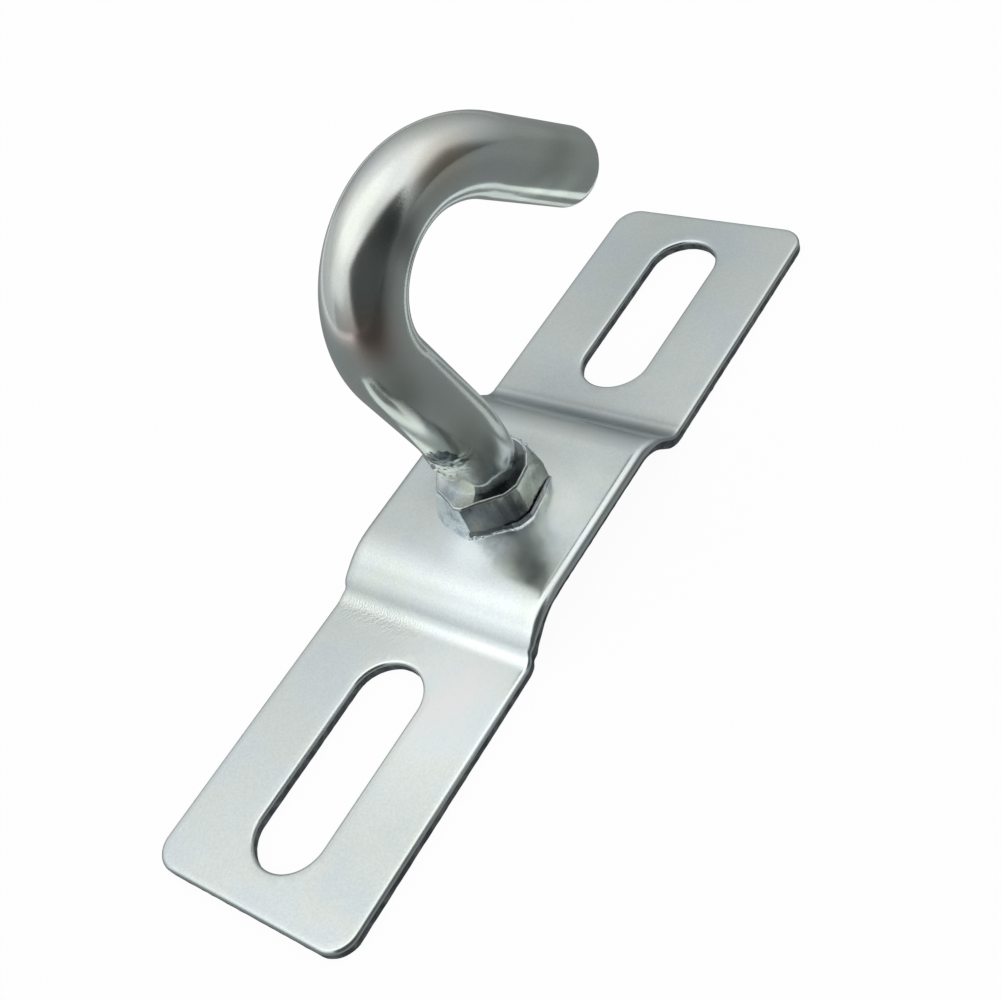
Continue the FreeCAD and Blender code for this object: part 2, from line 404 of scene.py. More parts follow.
# The sheared wall: rings from its foot up, how far it sinks in everywhere and at its foot, and its roughness
WALL_SHARES = (0.0, 0.04, 0.2, 0.4, 0.6, 0.8)
WALL_SINK = 0.02
WALL_TAPER = 0.05
WALL_ROUGH = 0.045
# Spacing of the mesh's points, which is finer over the joggles and, in its rows, round the nut
OUTLINE_STEP = 0.7
FINE_STEP = 0.3
FINE_OUTLINE_X = (10.5, 21.5)
FINE_GRID_X = (10.4, 21.6)
NUT_GRID_X = 12.0
GRID_TO_RIM = 0.35


def profile(x, foot_r, middle_r, base):
    """Height of one skin of the strip over the plate's length; the joggles rise at 45 degrees."""
    root = math.sqrt(0.5)
    slope = (RISE - (1 - root) * (foot_r + middle_r)) / root
    run = root * (foot_r + middle_r) + slope * root
    into = FOOT_INNER_X - np.abs(np.asarray(x, float))
    from_top = run - into
    z = np.full(into.shape, base)
    low = (into > 0) & (into <= foot_r * root)
    z = np.where(low, base + foot_r - np.sqrt(np.maximum(foot_r**2 - into**2, 0)), z)
    mid = (into > foot_r * root) & (from_top > middle_r * root)
    z = np.where(mid, base + foot_r * (1 - root) + (into - foot_r * root), z)
    high = (from_top <= middle_r * root) & (from_top > 0)
    z = np.where(high, base + RISE - middle_r + np.sqrt(np.maximum(middle_r**2 - from_top**2, 0)), z)
    return np.where(from_top <= 0, base + RISE, z)


def eased(x, foot_r, middle_r, base):
    """The section with the near joggle's upper bend run out softly, as the press leaves it."""
    x = np.asarray(x, float)
    sharp = profile(x, foot_r, middle_r, base)
    soft = 0.0
    for step, weight in EASING:
        pair = profile(x - step, foot_r, middle_r, base) + profile(x + step, foot_r, middle_r, base)
        soft = soft + weight * pair / 2
    share = (1.0 - smoothstep(*EASED_NEAR, -x)) * (1.0 - smoothstep(*EASED_MIDDLE, x))
    return sharp * (1.0 - share) + soft * share


def upper_skin(x):
    """Height of the plate's upper face."""
    x = np.asarray(x, float)
    crease = CREASE_HEIGHT * bell(x - FOOT_INNER_X, CREASE_OFFSET, CREASE_WIDTH)
    return eased(x, FOOT_BEND_R, MIDDLE_BEND_R + SHEET, SHEET) + crease


def lower_skin(x):
    """Height of the plate's lower face."""
    return eased(x, FOOT_BEND_R + SHEET, MIDDLE_BEND_R, 0.0)


def dome(x, y):
    """The low swell that the weld's heat left in the upper face round the nut."""
    away = np.hypot(x, y)
    outer = bell(np.maximum(away - DOME_R, 0.0), 0.0, DOME_RUN)
    return DOME_HEIGHT * outer * smoothstep(DOME_START, DOME_R, away)


def half_width(x):
    """Half the plate's width, with the nick in its side."""
    nick = NICK_DEPTH * bell(x, NICK_X, NICK_WIDTH)
    return PLATE_WIDTH / 2 - NARROWING * smoothstep(*NARROWING_X, x) - nick


def outline_points():
    """The plate's rounded outline, anticlockwise, as points and outward normals."""
    half_x = PLATE_LENGTH / 2
    run = [0.0]
    while run[-1] < half_x - CORNER_R - OUTLINE_STEP / 2:
        fine = FINE_OUTLINE_X[0] < run[-1] < FINE_OUTLINE_X[1]
        run.append(run[-1] + (FINE_STEP if fine else OUTLINE_STEP))
    run = np.array(run)
    run = run * (half_x - CORNER_R) / run[-1]
    long_x = np.concatenate([-run[:0:-1], run])
    side_y = half_width(long_x)
    quarter = np.radians(np.linspace(0, 90, 15))[:-1]
    points = [(x, -y) for x, y in zip(long_x[:-1], side_y[:-1])]
    normals = [(0, -1)] * len(points)
    for sx, sy, start in ((1, -1, -90), (1, 1, 0), (-1, 1, 90), (-1, -1, 180)):
        half_y = float(half_width(np.array(sx * half_x)))
        centre = (sx * (half_x - CORNER_R), sy * (half_y - CORNER_R))
        for turn in quarter + math.radians(start):
            points.append((centre[0] + CORNER_R * math.cos(turn), centre[1] + CORNER_R * math.sin(turn)))
            normals.append((math.cos(turn), math.sin(turn)))
        if sx == -sy:
            short_y = np.linspace(-(half_y - CORNER_R), half_y - CORNER_R, 31)
            after = [(sx * half_x, y) for y in short_y[::sx][:-1]]
            points += after
            normals += [(sx, 0)] * len(after)
        elif sx == 1:
            after = list(zip(long_x[::-1][:-1], side_y[::-1][:-1]))
            points += after
            normals += [(0, 1)] * len(after)
    return np.array(points), np.array(normals)


def slot_points(side):
    """One slot's outline, clockwise, with normals that point into the opening."""
    mid = side * (SLOT_INNER_X + SLOT_OUTER_X) / 2
    half = (SLOT_OUTER_X - SLOT_INNER_X) / 2
    turns = np.radians(np.linspace(90, -90, 41))
    points, normals = [], []
    for way in (1, -1):
        for turn in turns:
            points.append((mid + way * half + way * SLOT_R * math.cos(turn), way * SLOT_R * math.sin(turn)))
            normals.append((-way * math.cos(turn), -way * math.sin(turn)))
        for x in np.linspace(way * half, -way * half, 30)[1:-1]:
            points.append((mid + x, -way * SLOT_R))
            normals.append((0, way))
    return np.array(points), np.array(normals)


def hole_points():
    """The centre hole's outline, clockwise."""
    turns = np.radians(np.linspace(0, -360, 49))[:-1]
    return np.c_[HOLE_R * np.cos(turns), HOLE_R * np.sin(turns)]


def rim_radius(x, normal_y, outer):
    """Roll of the upper rim: broad along the raised middle's sides, small elsewhere."""
    if not outer:
        return np.full(len(x), SLOT_RIM_R)
    side = smoothstep(0.85, 1.0, np.abs(normal_y))
    middle = 1.0 - smoothstep(*MIDDLE_RIM_X, np.abs(x))
    return RIM_R + MIDDLE_RIM_EXTRA * side * middle


def inside(polygon, points):
    """True for the points inside the polygon."""
    x, y = points[:, 0][:, None], points[:, 1][:, None]
    x1, y1 = polygon[:, 0], polygon[:, 1]
    x2, y2 = np.roll(x1, -1), np.roll(y1, -1)
    spans = (y1 > y) != (y2 > y)
    rise = np.where(np.abs(y2 - y1) < 1e-12, 1e-12, y2 - y1)
    cross = x1 + (y - y1) * (x2 - x1) / rise
    return (np.sum(spans & (x < cross), axis=1) % 2) == 1


def grid_points(loops):
    """Points that fill the plate between its loops, finer over the joggles and round the nut."""
    half = PLATE_LENGTH / 2
    coarse = np.concatenate([np.arange(1.0 - half, half, 1.0), np.arange(-10.5, 11.0, 1.0)])
    joggle = (np.abs(coarse) > FINE_GRID_X[0]) & (np.abs(coarse) < FINE_GRID_X[1])
    fine = np.arange(*FINE_GRID_X, FINE_STEP)
    lines = np.unique(np.round(np.concatenate([coarse[~joggle], fine, -fine]), 4))
    rows = np.arange(-14.5, 15.0, 0.5)
    grid = np.array([(x, y) for x in lines for y in rows if abs(x) < NUT_GRID_X or y % 1.0 == 0.5])
    keep = inside(loops[0], grid)
    for hole in loops[1:]:
        keep &= ~inside(hole, grid)
    for loop in loops:
        away = np.hypot(grid[:, None, 0] - loop[None, :, 0], grid[:, None, 1] - loop[None, :, 1])
        keep &= np.min(away, axis=1) > GRID_TO_RIM
    return grid[keep]


def skin_mesh(loops):
    """Triangles between the outer loop and the holes, over the grid inside them."""
    points, edges = [], []
    for loop in loops:
        start = len(points)
        points.extend(loop.tolist())
        edges.extend((start + i, start + (i + 1) % len(loop)) for i in range(len(loop)))
    points.extend(grid_points(loops).tolist())
    got = delaunay_2d_cdt([Vector(p) for p in points], edges, [], 0, 1e-6)
    flat = np.array([tuple(v) for v in got[0]])
    if len(flat) != len(points):
        raise RuntimeError("the plate's triangulation added points")
    faces = np.array([f for f in got[2] if len(f) == 3])
    middle = flat[faces].mean(axis=1)
    good = inside(loops[0], middle)
    for hole in loops[1:]:
        good &= ~inside(hole, middle)
    return flat, faces[good]


def build_plate():
    """The pressed plate: rough sheared walls, a rolled upper rim and the two skins between them."""
    loops = [(*outline_points(), True)]
    loops += [(*slot_points(side), False) for side in (1, -1)]
    hole = hole_points()
    points, faces, kinds, top_rings, low_rings = [], [], [], [], []

    def add_ring(xy, z):
        start = len(points)
        points.extend(np.c_[xy, z].tolist())
        return list(range(start, start + len(xy)))

    for base, normal, is_outer in loops:
        radius = rim_radius(base[:, 0], normal[:, 1], is_outer)
        rings = []
        wall_top = upper_skin(base[:, 0]) - radius
        wall_low = lower_skin(base[:, 0])
        for share in WALL_SHARES:
            z = wall_low + (wall_top - wall_low) * share
            rough = np.array([wobble(x, y, h, 0.9) + 0.6 * wobble(x, y, h, 0.35, 3.1)
                              for (x, y), h in zip(base, z)])
            depth = WALL_SINK + WALL_TAPER * (1 - share) + WALL_ROUGH * rough * (1 - share)
            rings.append(add_ring(base - normal * np.maximum(depth, 0.0)[:, None], z))
        for turn in np.radians(ROLL_DEGREES):
            xy = base - normal * (radius * (1 - math.cos(turn)))[:, None]
            rings.append(add_ring(xy, upper_skin(xy[:, 0]) - radius * (1 - math.sin(turn))))
        quads = strips(rings)
        faces.extend(quads)
        wall_count = len(WALL_SHARES) * len(base)
        kinds.extend([1] * wall_count + [0] * (len(quads) - wall_count))
        top_rings.append(rings[-1])
        low_rings.append(rings[0])
    low = add_ring(hole, np.full(len(hole), RISE))
    high = add_ring(hole, np.full(len(hole), SEAT_Z))
    quads = strips([low, high])
    faces.extend(quads)
    kinds.extend([1] * len(quads))
    top_rings.append(high)
    low_rings.append(low)
    for rings, upper in ((top_rings, True), (low_rings, False)):
        flat, triangles = skin_mesh([np.array(points)[ring][:, :2] for ring in rings])
        numbers = [n for ring in rings for n in ring]
        x, y = flat[len(numbers):].T
        numbers += add_ring(np.c_[x, y], upper_skin(x) + dome(x, y) if upper else lower_skin(x))
        for a, b, c in triangles:
            face = (numbers[a], numbers[b], numbers[c])
            area = np.cross(flat[b] - flat[a], flat[c] - flat[a])
            faces.append(face[::-1] if (area < 0) == upper else face)
            kinds.append(0)
    make_piece("plate_pressed", points, faces, "mounting_plate", [PLATE_ZINC, EDGE_ZINC], kinds)


# Bar

# Height of the thread's profile, and the radius where crest and groove are as wide
THREAD_DEPTH = 0.6134 * THREAD_PITCH
PITCH_R = THREAD_D / 2 - 0.3248 * THREAD_PITCH
# The thread's end: radius of its flat, length of its lead, what the lead takes off, and the play in the nut
THREAD_END_R = 2.3
THREAD_LEAD = 1.1
THREAD_TAPER = 0.9
THREAD_PLAY = 0.06
# The mesh: points round the bar, and distance between its rings, which is finer where the scars are
BAR_AROUND = 160
FINE_RING_STEP = 0.2
RING_STEP = 0.45
FINE_RING_RUN = 9.0
# The tip's worn edge: how far each ring lies behind the end and inside the bar's surface
TIP_RINGS = ((1.1, 0.0), (0.75, 0.03), (0.4, 0.14), (0.15, 0.32), (0.02, 0.55), (0.0, 0.7), (0.0, 2.5))
# Runs at the shoulder and at the tip that have no other rings
SHOULDER_RUN = 0.2
TIP_RUN = 1.2
# Scars left by the weld on the bar's foot: azimuth, reach in degrees, height, half height and depth
SCARS = ((150.0, 30.0, 17.4, 2.8, 0.55), (191.0, 27.0, 20.4, 2.1, 0.36), (279.0, 10.0, 13.5, 1.0, 0.28))
DARK_SCARS = SCARS[1:]

# Directions of the hook's plane and across it
HOOK_HEADING = math.radians(-HOOK_TURN)
ALONG = np.array([math.cos(HOOK_HEADING), math.sin(HOOK_HEADING), 0.0])
ACROSS = np.array([-math.sin(HOOK_HEADING), math.cos(HOOK_HEADING), 0.0])
UP = np.array([0.0, 0.0, 1.0])
BAR_ANGLES = np.linspace(0, 2 * math.pi, BAR_AROUND, endpoint=False)


def bar_stations():
    """Points of the bar's centre line in the hook's plane: x, z, heading and distance."""
    x, z, heading, run = 0.0, NUT_TOP_Z, 0.0, 0.0
    rows = [(x, z, heading, run)]
    for size, turn in BAR_PATH:
        length = size if turn is None else size * math.radians(abs(turn))
        count = max(2, int(math.ceil(length / (FINE_RING_STEP if run < FINE_RING_RUN else RING_STEP))))
        for _ in range(count):
            part = length / count
            bend = 0.0 if turn is None else math.radians(turn) / count
            chord = part if turn is None else 2 * size * math.sin(abs(bend) / 2)
            x += chord * math.sin(heading + bend / 2)
            z += chord * math.cos(heading + bend / 2)
            heading += bend
            run += part
            rows.append((x, z, heading, run))
    return rows


def bar_frame(x, z, heading):
    """A station's point, the bar's direction there and the direction out of the bend."""
    centre = x * ALONG + z * UP
    tangent = math.sin(heading) * ALONG + math.cos(heading) * UP
    out = math.cos(heading) * ALONG - math.sin(heading) * UP
    return centre, tangent, out


def scar_share(x, y, z, scar):
    """1 in the middle of a scar, falling off to 0 round it."""
    azimuth, reach, middle, tall, _ = scar
    away = (math.degrees(math.atan2(y, x)) - azimuth + 180.0) % 360.0 - 180.0
    return math.exp(-(away / reach) ** 2 - ((z - middle) / tall) ** 2)


def scar_heights(out, height):
    """How far the scars stand proud of the bar at that height, at each point round it."""
    total = np.zeros(BAR_AROUND)
    for scar in SCARS:
        seed, depth = scar[0], scar[-1]
        for number, angle in enumerate(BAR_ANGLES):
            spot = math.cos(angle) * out + math.sin(angle) * ACROSS
            place = (spot[0] * BAR_R, spot[1] * BAR_R, height)
            lump = 0.75 + 0.55 * wobble(*place, 1.5, seed) + 0.45 * wobble(*place, 0.6, seed)
            total[number] += depth * scar_share(spot[0], spot[1], height, scar) * lump
    return total


def is_dark(x, y, z):
    """True where the bar is burnt dark in its scars, above the nut."""
    most = max(scar_share(x, y, z, scar) for scar in DARK_SCARS)
    return most + 0.30 * wobble(x, y, z, 1.3, 5.0) > 0.55 and z > NUT_TOP_Z + 0.3


def build_bar():
    """The bent bar: its thread in the nut, the scarred foot, the bends and the worn tip."""
    points, rings = [], []

    def ring(centre, out, radius):
        start = len(points)
        for angle, r in zip(BAR_ANGLES, np.broadcast_to(radius, BAR_ANGLES.shape)):
            points.append(centre + r * (math.cos(angle) * out + math.sin(angle) * ACROSS))
        rings.append(list(range(start, start + BAR_AROUND)))

    # The thread, from its end below the plate up into the nut's foot
    low = RISE - THREAD_BELOW
    ring(low * UP, ALONG, THREAD_END_R)
    z = low
    while z < SEAT_Z + 0.5:
        # Straight flanks between a flat crest and a flat root
        phase = (z / THREAD_PITCH - BAR_ANGLES / (2 * math.pi)) % 1.0
        crest = np.clip(1.25 - np.abs(phase - 0.5) * 2 * 1.4, 0.0, 1.0)
        lead = min(1.0, (z - low) / THREAD_LEAD)
        top = THREAD_D / 2 - (1 - lead) * THREAD_TAPER
        ring(z * UP, ALONG, np.minimum(top, THREAD_D / 2 - THREAD_DEPTH + THREAD_DEPTH * crest) - THREAD_PLAY)
        z += THREAD_PITCH / 10
    ring(z * UP, ALONG, PITCH_R)
    ring((NUT_TOP_Z - 0.001) * UP, ALONG, PITCH_R)
    # The shoulder on the nut
    for inset in (0.6, 0.0):
        ring(NUT_TOP_Z * UP, ALONG, BAR_R - inset + scar_heights(ALONG, NUT_TOP_Z))
    rows = bar_stations()
    whole = rows[-1][3]
    for x, z, heading, run in rows:
        if run < SHOULDER_RUN or whole - run < TIP_RUN:
            continue
        centre, _, out = bar_frame(x, z, heading)
        ring(centre, out, BAR_R + scar_heights(out, centre[2]))
    centre, tangent, out = bar_frame(*rows[-1][:3])
    for back, inset in TIP_RINGS:
        ring(centre - back * tangent, out, BAR_R - inset)
    tip = len(points)
    foot = tip + 1
    points += [centre, low * UP]
    faces = [tuple(reversed(face)) for face in strips(rings)]
    last, first = rings[-1], rings[0]
    for step in range(BAR_AROUND):
        after = (step + 1) % BAR_AROUND
        faces.append((last[after], last[step], tip))
        faces.append((first[step], first[after], foot))
    middles = [np.mean([points[n] for n in face], axis=0) for face in faces]
    kinds = [int(is_dark(*middle)) for middle in middles]
    make_piece("hook_bar", points, faces, "hook", [BAR_ZINC, SCAR_ZINC], kinds)


# Nut

# Reach of the nut at each of its six corners: where its upper rim is worn to, and the body below
WORN_CORNERS = (5.4, 5.7, 6.15, 7.5, 7.1, 6.25)
BODY_CORNERS = (7.2, 7.2, 7.44, 7.5, 6.95, 7.44)
# Points round the nut, and the reach that a burr on its rim doesn't pass
NUT_AROUND = 360
RIM_REACH = 7.5
# A burr on the near rim, lumps on the far one and where the worn rim falls off steeply: azimuth and width
BURR = (188.0, 17.0)
LUMPY = (325.0, 26.0)
STEEP = (350.0, 28.0)
# Rings of the nut's side, from its worn rim down to its foot
NUT_SIDE_SHARES = (0.0, 0.12, 0.25, 0.4, 0.55, 0.7, 0.85, 1.0)
# The nut's materials, and the azimuths where its top face, its side and its foot have them; the three darker
# ones are painted shade, set by azimuth
NUT_MATERIALS = (NUT_ZINC, SHADE_PAINTED_ZINC, PALE_FLAT_ZINC, OLIVE_ZINC, DEEP_SHADE_ZINC)
BRIGHT, SHADE_PAINTED, PALE, OLIVE, DEEP_SHADE = range(len(NUT_MATERIALS))
DEEP_SHADE_ON_TOP = (203.0, 300.0)
BRIGHT_ON_TOP = (60.0, 203.0)
PALE_SIDE_TO = 189.0
SHADE_PAINTED_SIDE_TO = 246.0
DEEP_SHADE_AT_FOOT = (205.0, 262.0)


def between_corners(azimuth, values):
    """Runs smoothly from one corner's value to the next, once round the nut."""
    place = ((azimuth - NUT_CORNER_AZIMUTH) % 360.0) / 60.0
    low = int(place) % 6
    share = float(smoothstep(0.0, 1.0, place - int(place)))
    return values[low] + (values[(low + 1) % 6] - values[low]) * share


def body_radius(azimuth):
    """Distance of the nut's flats and rounded corners from its axis."""
    local = math.radians((azimuth - NUT_CORNER_AZIMUTH) % 60.0 - 30.0)
    return min(NUT_HALF / math.cos(local), between_corners(azimuth, BODY_CORNERS))


def round_nut(angles, heights, size, seed=0.0):
    """Smooth noise at each angle round the nut, 7 mm from its axis."""
    heights = np.broadcast_to(heights, angles.shape)
    return np.array([wobble(math.cos(a) * 7, math.sin(a) * 7, h, size, seed)
                     for a, h in zip(angles, heights)])


def side_kind(degree, at_foot):
    """Material of the nut's side at that azimuth."""
    if degree < PALE_SIDE_TO:
        return PALE
    if at_foot and DEEP_SHADE_AT_FOOT[0] < degree < DEEP_SHADE_AT_FOOT[1]:
        return DEEP_SHADE
    return SHADE_PAINTED if degree < SHADE_PAINTED_SIDE_TO else OLIVE


def top_kind(degree):
    """Material of the nut's top face at that azimuth."""
    if DEEP_SHADE_ON_TOP[0] < degree < DEEP_SHADE_ON_TOP[1]:
        return DEEP_SHADE
    return BRIGHT if BRIGHT_ON_TOP[0] <= degree <= BRIGHT_ON_TOP[1] else SHADE_PAINTED


def build_nut():
    """The nut: its bore, a top face with a worn and burred rim, and six dented flats."""
    degrees = NUT_CORNER_AZIMUTH + np.linspace(0, 360, NUT_AROUND, endpoint=False)
    angles = np.radians(degrees)
    body = np.array([body_radius(d) for d in degrees])
    worn = np.array([between_corners(d, WORN_CORNERS) for d in degrees])
    raised = 0.25 * np.maximum(0.0, round_nut(angles, 4.0, 0.75)) * bell(degrees, *LUMPY)
    rim = np.minimum(body, worn) + 0.07 * round_nut(angles, 0.0, 1.6) + 0.3 * bell(degrees, *BURR)
    rim = np.minimum(rim, RIM_REACH) + raised
    # Where the worn rim's slope meets the flats, kept on the nut's side
    slope = 2.4 + 2.2 * bell(degrees, *STEEP)
    edge_z = NUT_TOP_Z - np.maximum(body - rim, 0.0) * slope - 0.12
    edge_z = np.clip(edge_z, SEAT_Z + 0.8, NUT_TOP_Z - 0.3)
    points, rings = [], []

    def ring(radius, z):
        start = len(points)
        radius = np.broadcast_to(radius, angles.shape)
        z = np.broadcast_to(z, angles.shape)
        points.extend(np.c_[radius * np.cos(angles), radius * np.sin(angles), z].tolist())
        rings.append(list(range(start, start + NUT_AROUND)))

    # The bore and the top face, then the rim with its burr, then the side down to the foot
    ring(BORE_R, SEAT_Z)
    ring(BORE_R, NUT_TOP_Z)
    ring(4.6, NUT_TOP_Z)
    ring(rim - 0.45, NUT_TOP_Z)
    top_rows = len(rings) - 1
    ring(rim - 0.28, NUT_TOP_Z + 0.08 + raised)
    ring(rim - 0.14, NUT_TOP_Z + 0.05 + raised)
    ring(rim - 0.03, NUT_TOP_Z - 0.08)
    ring(rim + 0.01, NUT_TOP_Z - 0.22)
    rim_rows = len(rings) - 1
    ring((rim + body) / 2, (NUT_TOP_Z - 0.22 + edge_z) / 2)
    for share in NUT_SIDE_SHARES:
        z = edge_z * (1 - share) + SEAT_Z * share
        dents = 0.07 * round_nut(angles, z, 1.1, 2.0) + 0.03 * round_nut(angles, z, 0.4, 7.0)
        ring(body + dents - 0.05, z)
    foot_row = len(rings) - 2
    kinds = []
    for row in range(len(rings)):
        for degree in degrees % 360.0:
            if row < top_rows:
                kinds.append(top_kind(degree))
            elif row < rim_rows:
                kinds.append(BRIGHT)
            else:
                kinds.append(side_kind(degree, row >= foot_row))
    make_piece("nut_hex", points, strips(rings, closed_sweep=True), "hex_nut",
               NUT_MATERIALS, kinds, sharp=32.0)


# Welds

# The welds round the nut's foot, as places along them: azimuth, reach, height and how far it is a lip
# with a crevice behind it
FRONT_WELD = (
    (110, 0.1, 0.1, 0), (122, 0.5, 1.6, 0), (135, 1.1, 3.4, 0), (150, 1.35, 4.6, 0), (165, 1.15, 4.6, 0),
    (178, 0.8, 2.6, 0), (188, 0.35, 1.4, 0), (200, 0.3, 0.8, 0), (222, 0.35, 0.8, 0), (234, 0.8, 0.6, 0.9),
    (252, 0.8, 0.5, 1), (270, 0.85, 0.5, 1), (288, 0.9, 0.5, 1), (300, 0.6, 0.4, 0.8), (312, 0.15, 0.1, 0),
)
BACK_WELD = ((-10, 0.1, 0.1, 0), (0, 0.9, 1.2, 0), (20, 1.3, 1.7, 0), (56, 1.3, 1.7, 0), (76, 0.9, 1.1, 0),
             (86, 0.1, 0.1, 0))
# Steps across a weld, from the nut to its edge
WELD_STEPS = 26
# The lip's height, and its place and width as shares of the weld's reach
LIP_HEIGHT = 0.8
LIP_PLACE = (0.27, 0.12)
# A pit in the weld's pad: depth, azimuth and width, and its place and width as shares of the reach
PIT_DEPTH = 0.8
PIT_AZIMUTH = (157.0, 3.0)
PIT_PLACE = (0.78, 0.12)
# The weld's materials, where its pad is pale and where its upper part, up to that step, is rougher and
# darkened with painted shade
WELD_MATERIALS = (WELD_ZINC, SHADE_PAINTED_ZINC, PALE_FLAT_ZINC)
WELD_BRIGHT, WELD_SHADE_PAINTED, WELD_PALE = range(len(WELD_MATERIALS))
PALE_PAD = (100, 186)
SHADE_PAINTED_WELD = (186, 233)
SHADE_PAINTED_STEPS = 15
# Spatter beside the nut: azimuth, distance from the axis, height, size
SPATTER = (
    (347.0, 5.5, 12.2, 0.24), (331.0, 5.9, 12.1, 0.22), (322.0, 6.2, 11.8, 0.28), (314.0, 6.6, 11.0, 0.24),
    (185.0, 7.5, 6.45, 0.36), (191.0, 7.3, 6.5, 0.40), (198.0, 7.0, 6.4, 0.30), (212.0, 6.75, 6.35, 0.26),
)


def add_lump(points, faces, centre, size, seed):
    """A small uneven ball, sunk into what it sits on."""
    start, rows, around = len(points), 7, 12
    points.append(centre + size * UP)
    for row in range(1, rows):
        tilt = math.pi * row / rows
        for step in range(around):
            turn = 2 * math.pi * step / around
            way = np.array([math.sin(tilt) * math.cos(turn), math.sin(tilt) * math.sin(turn), math.cos(tilt)])
            points.append(centre + way * size * (1 + 0.3 * wobble(*way, 0.9, seed)))
    points.append(centre - size * UP)
    last = len(points) - 1
    final = start + 1 + (rows - 2) * around
    for step in range(around):
        after = (step + 1) % around
        faces.append((start, start + 1 + step, start + 1 + after))
        for row in range(rows - 2):
            low, high = start + 1 + row * around, start + 1 + (row + 1) * around
            faces.append((low + step, high + step, high + after, low + after))
        faces.append((final + step, last, final + after))


def weld_height(azimuth, share, height, lip):
    """Height of the weld above the plate, at that share of its reach."""
    pad = height * max(0.0, 1.0 - share) ** 0.85
    ridge = LIP_HEIGHT * math.exp(-((share - LIP_PLACE[0]) / LIP_PLACE[1]) ** 2) * (1.0 - share ** 4)
    round_it = ((azimuth - PIT_AZIMUTH[0]) / PIT_AZIMUTH[1]) ** 2
    across_it = ((share - PIT_PLACE[0]) / PIT_PLACE[1]) ** 2
    return pad * (1.0 - lip) + ridge * lip - PIT_DEPTH * math.exp(-round_it - across_it)


def weld_kind(azimuth, step):
    """Material of the weld at that azimuth and step across it."""
    if SHADE_PAINTED_WELD[0] < azimuth < SHADE_PAINTED_WELD[1] and step < SHADE_PAINTED_STEPS:
        return WELD_SHADE_PAINTED
    return WELD_PALE if PALE_PAD[0] < azimuth <= PALE_PAD[1] else WELD_BRIGHT


def build_welds():
    """The welds: a pad and a lip round the nut's near side, a low lump on its far side, and spatter."""
    points, faces, kinds = [], [], []
    for seed, places in ((1.0, FRONT_WELD), (3.0, BACK_WELD)):
        azimuths, *columns = zip(*places)
        rings = []
        for azimuth in np.arange(azimuths[0], azimuths[-1] + 0.01, 1.0):
            reach, height, lip = (float(np.interp(azimuth, azimuths, column)) for column in columns)
            way = np.array([math.cos(math.radians(azimuth)), math.sin(math.radians(azimuth))])
            foot = body_radius(azimuth % 360.0) - 0.06
            start = len(points)
            for step in range(WELD_STEPS + 1):
                share = math.sin(math.pi / 2 * step / WELD_STEPS) ** 1.3
                z = weld_height(azimuth, share, height, lip)
                x, y = way * (foot + reach * share)
                rough = 0.15 * wobble(x, y, z, 1.3, seed) + 0.06 * wobble(x, y, z, 0.45, seed + 4.0)
                rough *= math.sin(math.pi * step / WELD_STEPS) * min(1.0, reach) * (1.0 - 0.6 * lip)
                over_plate = SEAT_Z + float(dome(x, y)) + max(0.0, z + rough * 0.6)
                points.append((x + way[0] * rough, y + way[1] * rough, over_plate))
            # The ring's last point lies in the nut
            x, y = way * (foot - 0.4)
            points.append((x, y, SEAT_Z + 0.02))
            rings.append(list(range(start, len(points))))
        quads = strips(rings)
        faces.extend(quads)
        faces.append(tuple(reversed(rings[0])))
        faces.append(tuple(rings[-1]))
        for number in range(len(quads)):
            row, step = divmod(number, WELD_STEPS + 2)
            kinds.append(weld_kind(azimuths[0] + row, step))
        kinds += [WELD_BRIGHT, WELD_BRIGHT]
    spatter_from = len(faces)
    for number, (azimuth, distance, height, size) in enumerate(SPATTER):
        angle = math.radians(azimuth)
        centre = np.array([math.cos(angle) * distance, math.sin(angle) * distance, height])
        add_lump(points, faces, centre, size, number * 1.3)
    kinds += [WELD_PALE] * (len(faces) - spatter_from)
    make_piece("weld_lumps", points, faces, "weld_beads", WELD_MATERIALS, kinds, sharp=75.0)


build_plate()
build_bar()
build_nut()
build_welds()


# Studio

# Rays that see the background and the floor as plain white
SEEN = ("Is Camera Ray", "Is Glossy Ray", "Is Transmission Ray")
WHITE = (1.0, 1.0, 1.0)
# Half side and height of the floor, and how much of it those rays see as white
FLOOR_HALF = 3.0
FLOOR_Z = -0.00005
FLOOR_WHITE = 0.95
# The point that cards and lamp face
HEART = Vector((0.0, 0.0, 0.03))
# Radius and height of the grey wall round the set, and its sides
WALL_R = 0.7
WALL_HEIGHT = 0.81
WALL_SIDES = 96
# Sheets on the floor: name, centre, half sides, soft share, strength, colour and height
SHEETS = (
    ("sheet_grey", (0.18, -0.26), (0.9, 0.9), 0.67, 1.0, (0.225, 0.241, 0.238), 0.00002),
    ("sheet_dark", (-0.34, -0.335), (0.45, 0.355), 0.4, 0.86, (0.024, 0.026, 0.026), 0.00004),
)
# Cards: name, azimuth, elevation, half width and half height in degrees, colour, strength, soft share
# and distance
CARDS = (
    ("panel_overhead", 140, 72, 26, 43, (1.18, 1.19, 1.15), 1.0, 0.66, 0.68),
    ("panel_side", 148, 29, 31, 19, (0.98, 1.0, 1.0), 0.54, 0.73, 0.66),
    ("flag_far", 42, 28, 46, 48, (0.31, 0.328, 0.325), 0.44, 0.81, 0.64),
    ("flag_camera_side", -125, 2, 51, 60, (0.023, 0.027, 0.027), 0.85, 0.59, 0.58),
    ("flag_left", 111, -6, 57, 28, (0.67, 0.71, 0.71), 0.44, 0.25, 0.57),
    ("flag_low", -95, 11, 16, 17, (0.107, 0.117, 0.117), 1.0, 0.25, 0.54),
    ("flag_brown", -55, 1, 24, 34, (0.026, 0.020, 0.014), 0.72, 0.67, 0.52),
    ("flag_near", -127, 28, 45, 32, (0.066, 0.071, 0.070), 0.95, 0.35, 0.18),
)
